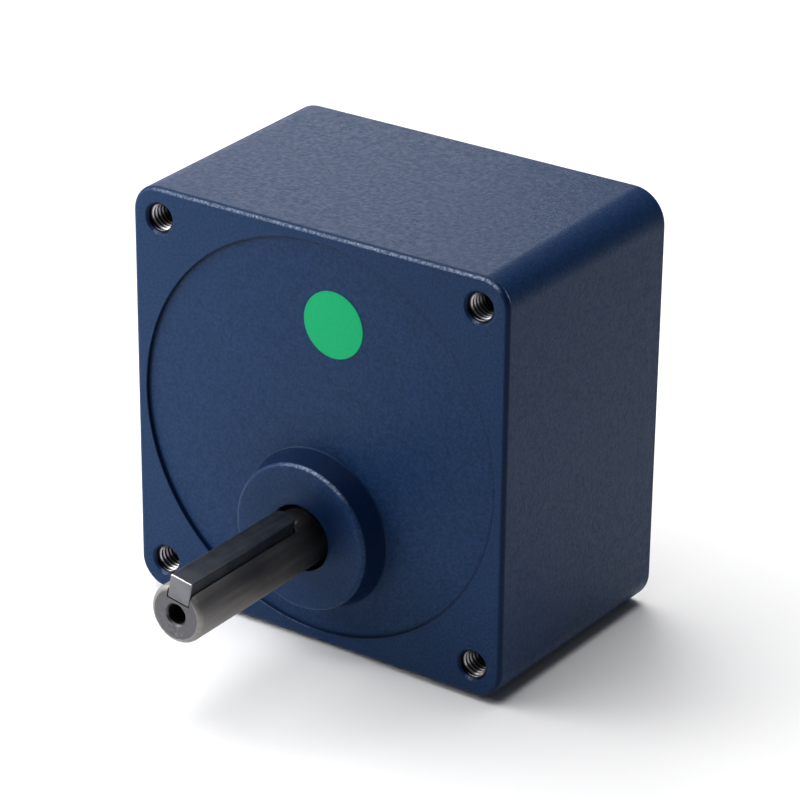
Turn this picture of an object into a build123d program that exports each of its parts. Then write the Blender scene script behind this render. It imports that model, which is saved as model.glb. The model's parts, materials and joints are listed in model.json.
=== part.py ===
from build123d import *
import math
import os

# Square gear reducer of a small gear motor, in millimetres.
# X points right and Z up, as seen from the shaft side, and depth runs back along +Y. The origin
# is the centre of the front mounting face, on the motor's own axis. The shaft points along -Y.

# Gear train, from the motor's pinion to the output shaft
pressure_angle = math.radians(20)
pinion_teeth = 12
first_wheel_teeth = 38
second_wheel_teeth = 32
output_wheel_teeth = 28
first_module = 0.8
second_module = 1.0
output_module = 1.25
pinion_shift = 0.3
addendum = 1.0
dedendum = 1.25
flank_relief = 0.035
flank_middle_share = 0.45
output_offset = 19.0
second_axis_bearing = 40.0

# Widths along the gear train, front to back
boss_height = 5.2
boss_lip = 1.5
seal_width = 5.0
seal_to_bearing = 0.7
bearing_width = 7.0
collar_width = 1.0
output_wheel_width = 15.0
pinion_overhang = 0.5
wheel_gap = 2.0
second_wheel_width = 7.0
first_wheel_width = 6.0
wheel_to_plate = 2.0
bush_length = 5.0
seat_floor = 1.5
register_depth = 3.5
end_play = 0.3

# Case
wheel_clearance = 1.125
register_ledge = 3.0
rim_wall = 3.5
draft_offset = 1.0
case_corner_radius = 7.0
front_edge_chamfer = 0.7
edge_bevel = 45.0
recess_margin = 2.5
recess_depth = 0.8
boss_radius = 15.5
boss_flare = 1.1
boss_edge_chamfer = 0.7
opening_clearance = 0.9
mount_hole_radius = 3.0
mount_hole_inset = 7.5

# Rear plate and its screws
plate_fit = 0.03
pinion_opening_radius = 7.0
column_radius = 4.5
column_inset = 2.5
screw_radius = 2.0
screw_hole_clearance = 0.15
screw_head_radius = 3.5
screw_head_height = 2.8
screw_length = 14.0
tapping_run_out = 1.5

# Output shaft and its keys
shaft_radius = 6.0
shaft_reach = 44.0
shaft_end_chamfer = 0.8
shaft_turn = 10.7
centre_hole_radius = 2.0
centre_hole_depth = 12.0
centre_hole_countersink = 0.4
key_width = 5.0
key_height = 5.0
keyway_depth = 3.0
key_setback = 4.8
key_top_clearance = 0.2
wheel_key_margin = 1.5
seat_step = 1.5
collar_step = 1.5
rear_journal_radius = 5.0

# Ball bearing, rear bush and oil seal of the output shaft
bearing_radius = 14.0
race_thickness = 2.0
rear_bush_wall = 2.5
seal_radius = 11.0
seal_lip_clearance = 0.05

# Pinion shafts and their bushes
pinion_shaft_radius = 4.0
journal_clearance = 0.03
bush_wall = 1.5

# Inspection sticker
sticker_radius = 6.9
sticker_thickness = 0.12
sticker_x = 3.9
sticker_z = 25.2

# Depths worked out from the widths above
boss_face = -boss_height
seal_front = boss_face + boss_lip
seal_back = seal_front + seal_width
front_bearing_front = seal_back + seal_to_bearing
seat_face = front_bearing_front + bearing_width
output_wheel_front = seat_face + collar_width
output_wheel_back = output_wheel_front + output_wheel_width
second_pinion_front = output_wheel_front - pinion_overhang
second_wheel_front = output_wheel_back + wheel_gap
second_wheel_back = second_wheel_front + second_wheel_width
first_pinion_front = second_wheel_front - pinion_overhang
first_wheel_front = second_wheel_back + wheel_gap
first_wheel_back = first_wheel_front + first_wheel_width
plate_face = first_wheel_back + wheel_to_plate
bush_back = plate_face + bush_length
plate_back = bush_back + seat_floor
case_back = plate_back + register_depth
shaft_back = bush_back - end_play

# Shaft axes, as places on the front face
first_centres = first_module * (pinion_teeth + first_wheel_teeth) / 2
second_centres = second_module * (pinion_teeth + second_wheel_teeth) / 2
output_centres = output_module * (pinion_teeth + output_wheel_teeth) / 2


def polar(radius, bearing):
    """Place at a radius and a bearing in degrees, counted from X towards Z."""
    return (radius * math.cos(math.radians(bearing)), radius * math.sin(math.radians(bearing)))


def bearing_of(start, end):
    """Bearing of one place seen from another, in degrees."""
    return math.degrees(math.atan2(end[1] - start[1], end[0] - start[0]))


def offset_place(place, radius, bearing):
    """Place at a radius and a bearing from another place."""
    step = polar(radius, bearing)
    return (place[0] + step[0], place[1] + step[1])


motor_axis = (0.0, 0.0)
output_axis = (0.0, -output_offset)
second_axis = offset_place(output_axis, output_centres, second_axis_bearing)
second_reach = math.hypot(second_axis[0], second_axis[1])
second_bearing = bearing_of(motor_axis, second_axis)
first_axis_cosine = (first_centres**2 + second_reach**2 - second_centres**2) / (
    2 * first_centres * second_reach
)
first_bearing = second_bearing + math.degrees(math.acos(first_axis_cosine))
first_axis = polar(first_centres, first_bearing)

# Involute spur gears


def tip_radius(teeth, module, shift):
    """Outside radius of a gear with a profile shift."""
    return module * (teeth / 2 + addendum + shift)


def involute(angle):
    """Involute function of a pressure angle."""
    return math.tan(angle) - angle


def tooth_flank(teeth, module, shift):
    """One flank from root to tip, as radii with half of the tooth's angle there, in degrees."""
    pitch_radius = module * teeth / 2
    base_radius = pitch_radius * math.cos(pressure_angle)
    root_radius = pitch_radius - module * (dedendum - shift)
    outside = tip_radius(teeth, module, shift)
    start_radius = max(base_radius, root_radius)
    middle_radius = start_radius + flank_middle_share * (outside - start_radius)
    pitch_half_angle = (math.pi / 2 + 2 * shift * math.tan(pressure_angle)) / teeth
    pitch_half_angle -= flank_relief / pitch_radius

    def half_angle(radius):
        turn = involute(math.acos(base_radius / radius)) - involute(pressure_angle)
        return math.degrees(pitch_half_angle - turn)

    return [
        (root_radius, half_angle(start_radius)),
        (middle_radius, half_angle(middle_radius)),
        (outside, half_angle(outside)),
    ]


def section(depth):
    """Plane across the reducer at a depth, seen from the front, with X right and Z up."""
    return Plane.XZ.offset(-depth)


def gear_outline(centre, depth, teeth, module, shift, space_bearing):
    """Toothed outline at a depth, with one tooth space pointing along a bearing."""
    flank = tooth_flank(teeth, module, shift)
    points = []
    for tooth in range(teeth):
        middle = space_bearing + (tooth + 1 / 2) * 360 / teeth
        for radius, half in flank:
            points.append(offset_place(centre, radius, middle - half))
        for radius, half in reversed(flank):
            points.append(offset_place(centre, radius, middle + half))
    with BuildSketch(section(depth)) as outline:
        with BuildLine():
            Polyline(*points, close=True)
        make_face()
    return outline.sketch


def turned(centre, front, back, radius, mode=Mode.ADD):
    """Round length of a shaft, a boss or a bore between two depths."""
    with BuildSketch(section(front)) as circle:
        with Locations(centre):
            Circle(radius)
    extrude(circle.sketch, amount=front - back, mode=mode)


def key_plan(height, front, back, round_front):
    """Plan of a key or its keyway at a height above the output axis, round at its closed ends."""
    up = Vector(0, 0, 1).rotate(Axis.Y, shaft_turn)
    foot = Vector(output_axis[0], 0, output_axis[1]) + up * height
    end_radius = key_width / 2
    straight_front = front + end_radius if round_front else front
    straight_back = back - end_radius
    with BuildSketch(Plane(origin=foot, x_dir=(0, 1, 0), z_dir=up)) as plan:
        with Locations(((straight_front + straight_back) / 2, 0)):
            Rectangle(straight_back - straight_front, key_width)
        with Locations((straight_back, 0)):
            Circle(end_radius)
        if round_front:
            with Locations((straight_front, 0)):
                Circle(end_radius)
    return plan.sketch


# Case

tips = {
    "first": tip_radius(first_wheel_teeth, first_module, -pinion_shift),
    "second": tip_radius(second_wheel_teeth, second_module, -pinion_shift),
    "output": tip_radius(output_wheel_teeth, output_module, -pinion_shift),
}
wheel_reach = max(
    first_centres + tips["first"],
    second_reach + tips["second"],
    output_offset + tips["output"],
)
cavity_radius = wheel_reach + wheel_clearance
register_radius = cavity_radius + register_ledge
case_width = 2 * (register_radius + rim_wall)
front_width = case_width - 2 * draft_offset
recess_radius = front_width / 2 - recess_margin
mount_spacing = case_width - 2 * mount_hole_inset
shaft_opening_radius = shaft_radius + opening_clearance
case_draft = math.degrees(math.atan(draft_offset / (case_back - front_edge_chamfer)))
output_line = Axis((output_axis[0], 0, output_axis[1]), (0, 1, 0))
output_meridian = Plane(origin=output_line.position, x_dir=(1, 0, 0), z_dir=(0, 0, 1))
bush_radius = pinion_shaft_radius + bush_wall
rear_bush_radius = rear_journal_radius + rear_bush_wall
seat_radius = shaft_radius + seat_step

# Two screw columns stand between the wheels, and the third one faces them on the left
upper_column = (first_bearing + second_bearing) / 2
lower_column = (second_bearing + bearing_of(motor_axis, output_axis)) / 2
column_bearings = (upper_column, lower_column, (upper_column + lower_column) / 2 + 180)
column_circle = cavity_radius - column_inset
screw_places = [polar(column_circle, bearing) for bearing in column_bearings]
screw_tip = plate_back - screw_length

with BuildPart() as gear_case:
    with BuildSketch(section(case_back)):
        RectangleRounded(case_width, case_width, case_corner_radius)
    extrude(amount=case_back - front_edge_chamfer, taper=case_draft)
    with BuildSketch(section(front_edge_chamfer)):
        RectangleRounded(front_width, front_width, case_corner_radius - draft_offset)
    extrude(amount=front_edge_chamfer, taper=edge_bevel)
    turned(motor_axis, 0, recess_depth, recess_radius, Mode.SUBTRACT)
    with BuildSketch(output_meridian):
        with BuildLine():
            Polyline(
                (0, recess_depth),
                (boss_radius + boss_flare, recess_depth),
                (boss_radius, boss_face + boss_edge_chamfer),
                (boss_radius - boss_edge_chamfer, boss_face),
                (0, boss_face),
                close=True,
            )
        make_face()
    revolve(axis=output_line)
    # Cavity with its screw columns, and the motor's register
    turned(motor_axis, seat_face, plate_face, cavity_radius, Mode.SUBTRACT)
    turned(motor_axis, plate_face, case_back, register_radius, Mode.SUBTRACT)
    for place in screw_places:
        turned(place, seat_face, plate_face, column_radius)
    # Bush seats, bearing seat, seal seat and shaft opening
    for place in (first_axis, second_axis):
        turned(place, seat_face - bush_length, seat_face, bush_radius, Mode.SUBTRACT)
    turned(output_axis, front_bearing_front, seat_face, bearing_radius, Mode.SUBTRACT)
    turned(output_axis, seal_front, front_bearing_front, seal_radius, Mode.SUBTRACT)
    turned(output_axis, boss_face, seal_front, shaft_opening_radius, Mode.SUBTRACT)
    # Holes for the plate's screws
    for place in screw_places:
        turned(place, screw_tip - tapping_run_out, plate_face, screw_radius, Mode.SUBTRACT)
    # Corner holes, tapped from both ends
    with Locations(section(0)):
        with GridLocations(mount_spacing, mount_spacing, 2, 2):
            Hole(mount_hole_radius)
gear_case.part.label = "gear_case"

# Rear plate, which closes the gear room and carries the three rear bushes

with BuildPart() as rear_plate:
    turned(motor_axis, plate_face, plate_back, register_radius - plate_fit)
    turned(motor_axis, plate_face, plate_back, pinion_opening_radius, Mode.SUBTRACT)
    turned(output_axis, plate_face, bush_back, rear_bush_radius, Mode.SUBTRACT)
    for place in (first_axis, second_axis):
        turned(place, plate_face, bush_back, bush_radius, Mode.SUBTRACT)
    for place in screw_places:
        turned(place, plate_face, plate_back, screw_radius + screw_hole_clearance, Mode.SUBTRACT)
        turned(
            place,
            plate_back - screw_head_height,
            plate_back,
            screw_head_radius + screw_hole_clearance,
            Mode.SUBTRACT,
        )
rear_plate.part.label = "rear_plate"

with BuildPart() as plate_screws:
    for place in screw_places:
        turned(place, screw_tip, plate_back, screw_radius)
        turned(place, plate_back - screw_head_height, plate_back, screw_head_radius)
plate_screws.part.label = "plate_screws"

# Seal, bearing rings and plain bushes

with BuildPart() as oil_seal:
    turned(output_axis, seal_front, seal_back, seal_radius)
    turned(output_axis, seal_front, seal_back, seat_radius + seal_lip_clearance, Mode.SUBTRACT)
oil_seal.part.label = "oil_seal"

with BuildPart() as front_bearing_outer_ring:
    race_radius = bearing_radius - race_thickness
    turned(output_axis, front_bearing_front, seat_face, bearing_radius)
    turned(output_axis, front_bearing_front, seat_face, race_radius, Mode.SUBTRACT)
front_bearing_outer_ring.part.label = "front_bearing_outer_ring"

with BuildPart() as front_bearing_inner_ring:
    turned(output_axis, front_bearing_front, seat_face, seat_radius + race_thickness)
    turned(output_axis, front_bearing_front, seat_face, seat_radius, Mode.SUBTRACT)
front_bearing_inner_ring.part.label = "front_bearing_inner_ring"


def make_bush(place, front, outside, bore):
    """Plain bush, from its front depth."""
    with BuildPart() as bush:
        turned(place, front, front + bush_length, outside)
        turned(place, front, front + bush_length, bore + journal_clearance, Mode.SUBTRACT)
    return bush


bush_front = seat_face - bush_length
first_front_bush = make_bush(first_axis, bush_front, bush_radius, pinion_shaft_radius)
first_front_bush.part.label = "first_front_bush"
second_front_bush = make_bush(second_axis, bush_front, bush_radius, pinion_shaft_radius)
second_front_bush.part.label = "second_front_bush"
first_rear_bush = make_bush(first_axis, plate_face, bush_radius, pinion_shaft_radius)
first_rear_bush.part.label = "first_rear_bush"
second_rear_bush = make_bush(second_axis, plate_face, bush_radius, pinion_shaft_radius)
second_rear_bush.part.label = "second_rear_bush"
output_rear_bush = make_bush(output_axis, plate_face, rear_bush_radius, rear_journal_radius)
output_rear_bush.part.label = "output_rear_bush"

# Output shaft with its two keys and its wheel

collar_radius = seat_radius + collar_step
key_foot = shaft_radius - keyway_depth
wheel_key_foot = seat_radius - keyway_depth
key_back = boss_face - key_setback
wheel_key_front = output_wheel_front + wheel_key_margin
wheel_key_back = output_wheel_back - wheel_key_margin

with BuildPart() as output_shaft:
    turned(output_axis, -shaft_reach, seal_front, shaft_radius)
    chamfer(output_shaft.faces().sort_by(Axis.Y)[0].edges(), length=shaft_end_chamfer)
    turned(output_axis, seal_front, seat_face, seat_radius)
    turned(output_axis, seat_face, output_wheel_front, collar_radius)
    turned(output_axis, output_wheel_front, plate_face - end_play, seat_radius)
    turned(output_axis, plate_face - end_play, shaft_back, rear_journal_radius)
    with Locations(section(-shaft_reach)):
        with Locations(output_axis):
            CounterSinkHole(
                centre_hole_radius,
                centre_hole_radius + centre_hole_countersink,
                depth=centre_hole_depth,
            )
    extrude(
        key_plan(key_foot, -shaft_reach, key_back, False), amount=key_height, mode=Mode.SUBTRACT
    )
    extrude(
        key_plan(wheel_key_foot, wheel_key_front, wheel_key_back, True),
        amount=key_height,
        mode=Mode.SUBTRACT,
    )
output_shaft.part.label = "output_shaft"

with BuildPart() as shaft_key:
    extrude(key_plan(key_foot, -shaft_reach, key_back, False), amount=key_height)
shaft_key.part.label = "shaft_key"

with BuildPart() as output_wheel_key:
    extrude(
        key_plan(wheel_key_foot, wheel_key_front, wheel_key_back, True), amount=key_height
    )
output_wheel_key.part.label = "output_wheel_key"

with BuildPart() as output_wheel:
    toward_pinion = bearing_of(output_axis, second_axis)
    extrude(
        gear_outline(
            output_axis,
            output_wheel_front,
            output_wheel_teeth,
            output_module,
            -pinion_shift,
            toward_pinion,
        ),
        amount=-output_wheel_width,
    )
    turned(output_axis, output_wheel_front, output_wheel_back, seat_radius, Mode.SUBTRACT)
    wheel_key_top = wheel_key_foot + key_height + key_top_clearance
    with BuildSketch(section(output_wheel_front)):
        with Locations(output_axis):
            with Locations(Rotation(0, 0, -shaft_turn)):
                with Locations((0, wheel_key_top / 2)):
                    Rectangle(key_width, wheel_key_top)
    extrude(amount=-output_wheel_width, mode=Mode.SUBTRACT)
output_wheel.part.label = "output_wheel"

# Pinion shafts, each cut in one piece with its pinion, and the wheels pressed on them

pinion_shaft_front = bush_front + end_play

with BuildPart() as second_pinion_shaft:
    turned(second_axis, pinion_shaft_front, shaft_back, pinion_shaft_radius)
    second_tooth_bearing = bearing_of(second_axis, output_axis)
    extrude(
        gear_outline(
            second_axis,
            second_pinion_front,
            pinion_teeth,
            output_module,
            pinion_shift,
            second_tooth_bearing + 180 / pinion_teeth,
        ),
        amount=second_pinion_front - second_wheel_front,
    )
second_pinion_shaft.part.label = "second_pinion_shaft"

with BuildPart() as second_wheel:
    extrude(
        gear_outline(
            second_axis,
            second_wheel_front,
            second_wheel_teeth,
            second_module,
            -pinion_shift,
            bearing_of(second_axis, first_axis),
        ),
        amount=-second_wheel_width,
    )
    turned(
        second_axis, second_wheel_front, second_wheel_back, pinion_shaft_radius, Mode.SUBTRACT
    )
second_wheel.part.label = "second_wheel"

with BuildPart() as first_pinion_shaft:
    turned(first_axis, pinion_shaft_front, shaft_back, pinion_shaft_radius)
    first_tooth_bearing = bearing_of(first_axis, second_axis)
    extrude(
        gear_outline(
            first_axis,
            first_pinion_front,
            pinion_teeth,
            second_module,
            pinion_shift,
            first_tooth_bearing + 180 / pinion_teeth,
        ),
        amount=first_pinion_front - first_wheel_front,
    )
first_pinion_shaft.part.label = "first_pinion_shaft"

with BuildPart() as first_wheel:
    extrude(
        gear_outline(
            first_axis,
            first_wheel_front,
            first_wheel_teeth,
            first_module,
            -pinion_shift,
            bearing_of(first_axis, motor_axis),
        ),
        amount=-first_wheel_width,
    )
    turned(first_axis, first_wheel_front, first_wheel_back, pinion_shaft_radius, Mode.SUBTRACT)
first_wheel.part.label = "first_wheel"

with BuildPart() as inspection_sticker:
    turned(
        (sticker_x, sticker_z), recess_depth - sticker_thickness, recess_depth, sticker_radius
    )
inspection_sticker.part.label = "inspection_sticker"

# Files

os.makedirs("parts", exist_ok=True)
pieces = [
    gear_case,
    rear_plate,
    plate_screws,
    oil_seal,
    front_bearing_outer_ring,
    front_bearing_inner_ring,
    first_front_bush,
    second_front_bush,
    first_rear_bush,
    second_rear_bush,
    output_rear_bush,
    output_shaft,
    shaft_key,
    output_wheel,
    output_wheel_key,
    second_pinion_shaft,
    second_wheel,
    first_pinion_shaft,
    first_wheel,
    inspection_sticker,
]
for piece in pieces:
    export_step(piece.part, "parts/" + piece.part.label + ".step")
print("case width", case_width, "depth", case_back, "hole spacing", mount_spacing)
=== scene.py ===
import json
import math

import bmesh
import bpy
from mathutils import Matrix, Vector
from mathutils.geometry import tessellate_polygon


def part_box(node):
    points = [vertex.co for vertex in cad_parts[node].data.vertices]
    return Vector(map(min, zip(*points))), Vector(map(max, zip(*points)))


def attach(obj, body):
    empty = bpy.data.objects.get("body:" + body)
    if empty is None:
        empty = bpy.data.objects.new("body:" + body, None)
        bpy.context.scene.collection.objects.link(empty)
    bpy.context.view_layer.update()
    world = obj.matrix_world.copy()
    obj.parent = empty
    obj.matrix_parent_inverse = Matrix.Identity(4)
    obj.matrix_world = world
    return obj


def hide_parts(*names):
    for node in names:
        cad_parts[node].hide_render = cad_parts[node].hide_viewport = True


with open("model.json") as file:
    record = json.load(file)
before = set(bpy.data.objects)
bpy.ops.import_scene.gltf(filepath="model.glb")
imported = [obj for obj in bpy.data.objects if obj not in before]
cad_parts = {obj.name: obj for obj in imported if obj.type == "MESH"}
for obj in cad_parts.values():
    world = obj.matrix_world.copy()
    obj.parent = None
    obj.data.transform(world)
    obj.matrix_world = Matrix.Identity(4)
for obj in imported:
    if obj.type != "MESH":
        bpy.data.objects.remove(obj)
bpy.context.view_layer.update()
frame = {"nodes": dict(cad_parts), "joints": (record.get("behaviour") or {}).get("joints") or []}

MM = 0.001

# Sizes read from the frame, in metres

case_low, case_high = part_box("gear_case")
shaft_low, shaft_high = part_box("output_shaft")
seal_low, seal_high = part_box("oil_seal")
plate_low, plate_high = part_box("rear_plate")
ring_low, ring_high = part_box("front_bearing_outer_ring")
sticker_low, sticker_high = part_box("inspection_sticker")
bush_low, bush_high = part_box("first_front_bush")
joint_places = {joint["child"]: joint["pos_m"] for joint in frame["joints"]}

case_half = case_high.x
case_back = case_high.y
boss_face = case_low.y
output_z = joint_places["output"][2]
seal_front = seal_low.y
bearing_front = ring_low.y
seat_face = ring_high.y
bearing_radius = ring_high.x
seal_radius = seal_high.x
plate_front = plate_low.y
plate_back = plate_high.y
shaft_end = shaft_low.y
shaft_back = shaft_high.y
key_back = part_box("shaft_key")[1].y
inner_ring_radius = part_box("front_bearing_inner_ring")[1].x

# Sizes of the case, in metres

draft_offset = 1.0 * MM
rear_corner = 7.0 * MM
front_corner = 6.0 * MM
front_edge = 0.95 * MM
rear_edge = 0.3 * MM
recess_radius = 41.5 * MM
recess_depth = 0.8 * MM
recess_edge = 0.22 * MM
register_radius = 41.5 * MM
cavity_radius = 38.5 * MM
column_circle = 36.0 * MM
column_radius = 4.5 * MM
boss_radius = 15.5 * MM
boss_flare = 1.1 * MM
boss_rim = 0.85 * MM
boss_foot = 0.5 * MM
opening_radius = 6.9 * MM
opening_edge = 0.25 * MM
hole_radius = 3.0 * MM
hole_mouth = 0.50 * MM
hole_half_spacing = 37.5 * MM
hole_places = [
    (side_x * hole_half_spacing, side_z * hole_half_spacing)
    for side_x in (-1, 1)
    for side_z in (-1, 1)
]

# Sizes of the shaft, its key and the small pieces, in metres

shaft_radius = 6.0 * MM
shaft_seat_radius = 7.5 * MM
collar_radius = 9.0 * MM
collar_width = 1.0 * MM
journal_radius = 5.0 * MM
journal_length = 5.0 * MM
shaft_chamfer = 0.8 * MM
centre_hole_radius = 2.0 * MM
centre_hole_mouth = 0.4 * MM
centre_hole_depth = 12.0 * MM
centre_hole_cone = 1.0 * MM
key_width = 5.0 * MM
key_height = 5.0 * MM
keyway_depth = 3.0 * MM
keyway_gap = 0.16 * MM
shaft_turn = math.radians(10.7)
thread_pitch = 1.0 * MM
thread_height = 0.5 * MM
thread_length = 17.0 * MM
race_thickness = 2.0 * MM
ball_count = 10

front_half = case_half - draft_offset
screw_bearings = (25.257, 310.650, 167.953)

# Numbers of sides of the round forms

recess_sides = 192
boss_sides = 160
shaft_sides = 128
bush_sides = 64
hole_sides = 48
screw_sides = 36
sticker_sides = 96


# Meshes built from rings of points


class Shell:
    """Points, faces and finishes of one mesh. A ring is a closed row of point numbers.

    Each point's tone holds scuffing and painted light: above zero scuffed paint and painted
    highlight, below zero painted shade.
    """

    def __init__(self):
        self.points = []
        self.faces = []
        self.finishes = []
        self.wear_and_light = []

    def ring(self, places, wear_and_light=0.0):
        start = len(self.points)
        self.points.extend(places)
        self.wear_and_light.extend(wear_and_light if isinstance(wear_and_light, list) else [wear_and_light] * len(places))
        return list(range(start, start + len(places)))

    def band(self, ring_a, ring_b, finish=0):
        for i in range(len(ring_a)):
            j = (i + 1) % len(ring_a)
            self.faces.append((ring_a[i], ring_a[j], ring_b[j], ring_b[i]))
            self.finishes.append(finish)

    def fill(self, outer, holes=(), finish=0):
        """Flat face at one depth, with holes."""
        loops = [outer, *holes]
        numbers = [number for loop in loops for number in loop]
        flat = [[Vector((self.points[n].x, self.points[n].z, 0)) for n in loop] for loop in loops]
        for triangle in tessellate_polygon(flat):
            self.faces.append(tuple(numbers[i] for i in triangle))
            self.finishes.append(finish)

    def build(self, name, materials, sharp_degrees=40):
        mesh = bpy.data.meshes.new(name)
        mesh.from_pydata(self.points, [], self.faces)
        mesh.polygons.foreach_set("material_index", self.finishes)
        worn_and_lit = mesh.attributes.new("worn_edge", "FLOAT", "POINT")
        worn_and_lit.data.foreach_set("value", self.wear_and_light)
        return finish_mesh(mesh, materials, sharp_degrees)


def finish_mesh(mesh, materials, sharp_degrees=40, weld=1e-7):
    """Welds a mesh, turns it outwards, smooths it up to an angle and makes its object."""
    made = bmesh.new()
    made.from_mesh(mesh)
    bmesh.ops.remove_doubles(made, verts=made.verts, dist=weld)
    bmesh.ops.recalc_face_normals(made, faces=made.faces)
    made.to_mesh(mesh)
    made.free()
    for material in materials:
        mesh.materials.append(material)
    mesh.polygons.foreach_set("use_smooth", [True] * len(mesh.polygons))
    mesh.set_sharp_from_angle(angle=math.radians(sharp_degrees))
    piece = bpy.data.objects.new(mesh.name, mesh)
    bpy.context.scene.collection.objects.link(piece)
    weighted = piece.modifiers.new("weighted", "WEIGHTED_NORMAL")
    weighted.keep_sharp = True
    return applied(piece)


def applied(piece):
    """The piece with its modifiers made part of its mesh."""
    bpy.context.view_layer.update()
    graph = bpy.context.evaluated_depsgraph_get()
    mesh = bpy.data.meshes.new_from_object(piece.evaluated_get(graph), depsgraph=graph)
    old = piece.data
    mesh.name = piece.name
    piece.modifiers.clear()
    piece.data = mesh
    bpy.data.meshes.remove(old)
    return piece


def circle(radius, depth, count, centre=(0.0, 0.0)):
    """Points of a circle across the reducer at a depth."""
    return [
        Vector(
            (
                centre[0] + radius * math.cos(2 * math.pi * i / count),
                depth,
                centre[1] + radius * math.sin(2 * math.pi * i / count),
            )
        )
        for i in range(count)
    ]


def rounded_square(half, corner, depth, steps=12):
    """Points of a rounded square across the reducer at a depth."""
    places = []
    for quarter in range(4):
        turn = quarter * math.pi / 2
        middle_x = (half - corner) * (1 if quarter in (0, 3) else -1)
        middle_z = (half - corner) * (1 if quarter in (0, 1) else -1)
        for step in range(steps + 1):
            angle = turn + step * math.pi / 2 / steps
            places.append(
                Vector(
                    (
                        middle_x + corner * math.cos(angle),
                        depth,
                        middle_z + corner * math.sin(angle),
                    )
                )
            )
    return places


def arc(centre, radius, start_degrees, end_degrees, steps):
    """Profile points along an arc, as pairs of radius and depth."""
    places = []
    for step in range(steps + 1):
        angle = math.radians(start_degrees + (end_degrees - start_degrees) * step / steps)
        places.append(
            (centre[0] + radius * math.cos(angle), centre[1] + radius * math.sin(angle))
        )
    return places


def clamped(value):
    """Value kept from 0 to 1."""
    return max(0.0, min(1.0, value))


def lathe(shell, profile, centre, finish, count, tone=None):
    """Turned surface through a profile of radius and depth, with the tone of each place."""
    rings = []
    for number, (radius, depth) in enumerate(profile):
        places = circle(radius, depth, count, centre)
        wear_and_light = [tone(number, place) for place in places] if tone else 0.0
        rings.append(shell.ring(places, wear_and_light))
    for ring_a, ring_b in zip(rings, rings[1:]):
        shell.band(ring_a, ring_b, finish)
    return rings


# Materials


def shader_of(name, colour, roughness, metallic=0.0):
    """New material with its shader, as node tree, shader node and texture coordinates."""
    material = bpy.data.materials.new(name)
    material.use_nodes = True
    tree = material.node_tree
    shader = tree.nodes["Principled BSDF"]
    shader.inputs["Base Color"].default_value = (*colour, 1.0)
    shader.inputs["Roughness"].default_value = roughness
    shader.inputs["Metallic"].default_value = metallic
    place = tree.nodes.new("ShaderNodeTexCoord")
    return material, tree, shader, place.outputs["Object"]


def noise(tree, place, scale, detail=3.0, stretch=(1.0, 1.0, 1.0)):
    """Noise on the piece's own coordinates. The scale counts cells per metre."""
    mapping = tree.nodes.new("ShaderNodeMapping")
    mapping.inputs["Scale"].default_value = stretch
    tree.links.new(place, mapping.inputs["Vector"])
    node = tree.nodes.new("ShaderNodeTexNoise")
    node.inputs["Scale"].default_value = scale
    node.inputs["Detail"].default_value = detail
    tree.links.new(mapping.outputs["Vector"], node.inputs["Vector"])
    return node.outputs["Fac"]


def spread(tree, value, low, high, from_low=0.3, from_high=0.7):
    """Value stretched from one range to another."""
    node = tree.nodes.new("ShaderNodeMapRange")
    node.inputs["From Min"].default_value = from_low
    node.inputs["From Max"].default_value = from_high
    node.inputs["To Min"].default_value = low
    node.inputs["To Max"].default_value = high
    tree.links.new(value, node.inputs["Value"])
    return node.outputs["Result"]


def mixed(tree, factor, colour_a, colour_b):
    """Colour between two, by a factor. Either may be a colour or an output."""
    node = tree.nodes.new("ShaderNodeMix")
    node.data_type = "RGBA"
    tree.links.new(factor, node.inputs[0])
    for socket, colour in ((node.inputs[6], colour_a), (node.inputs[7], colour_b)):
        if isinstance(colour, tuple):
            socket.default_value = (*colour, 1.0)
        else:
            tree.links.new(colour, socket)
    return node.outputs[2]


def times(tree, value_a, value_b):
    """Product of two outputs, or of an output and a number."""
    node = tree.nodes.new("ShaderNodeMath")
    node.operation = "MULTIPLY"
    tree.links.new(value_a, node.inputs[0])
    if isinstance(value_b, float):
        node.inputs[1].default_value = value_b
    else:
        tree.links.new(value_b, node.inputs[1])
    return node.outputs[0]


def bumped(tree, shader, height, strength, distance):
    """Adds a height to the shader's surface, over any bump that it has."""
    node = tree.nodes.new("ShaderNodeBump")
    node.inputs["Strength"].default_value = strength
    node.inputs["Distance"].default_value = distance
    tree.links.new(height, node.inputs["Height"])
    if shader.inputs["Normal"].is_linked:
        tree.links.new(shader.inputs["Normal"].links[0].from_socket, node.inputs["Normal"])
    tree.links.new(node.outputs["Normal"], shader.inputs["Normal"])


def rings_about(tree, place, centre, scale):
    """Fine rings around an axis along the depth, as a lathe leaves them on a face."""
    mapping = tree.nodes.new("ShaderNodeMapping")
    mapping.inputs["Location"].default_value = (-centre[0], 0.0, -centre[1])
    tree.links.new(place, mapping.inputs["Vector"])
    wave = tree.nodes.new("ShaderNodeTexWave")
    wave.wave_type = "RINGS"
    wave.rings_direction = "Y"
    wave.inputs["Scale"].default_value = scale
    wave.inputs["Distortion"].default_value = 0.6
    wave.inputs["Detail"].default_value = 2.0
    wave.inputs["Detail Scale"].default_value = 3.0
    tree.links.new(mapping.outputs["Vector"], wave.inputs["Vector"])
    return wave.outputs["Fac"]


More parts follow.
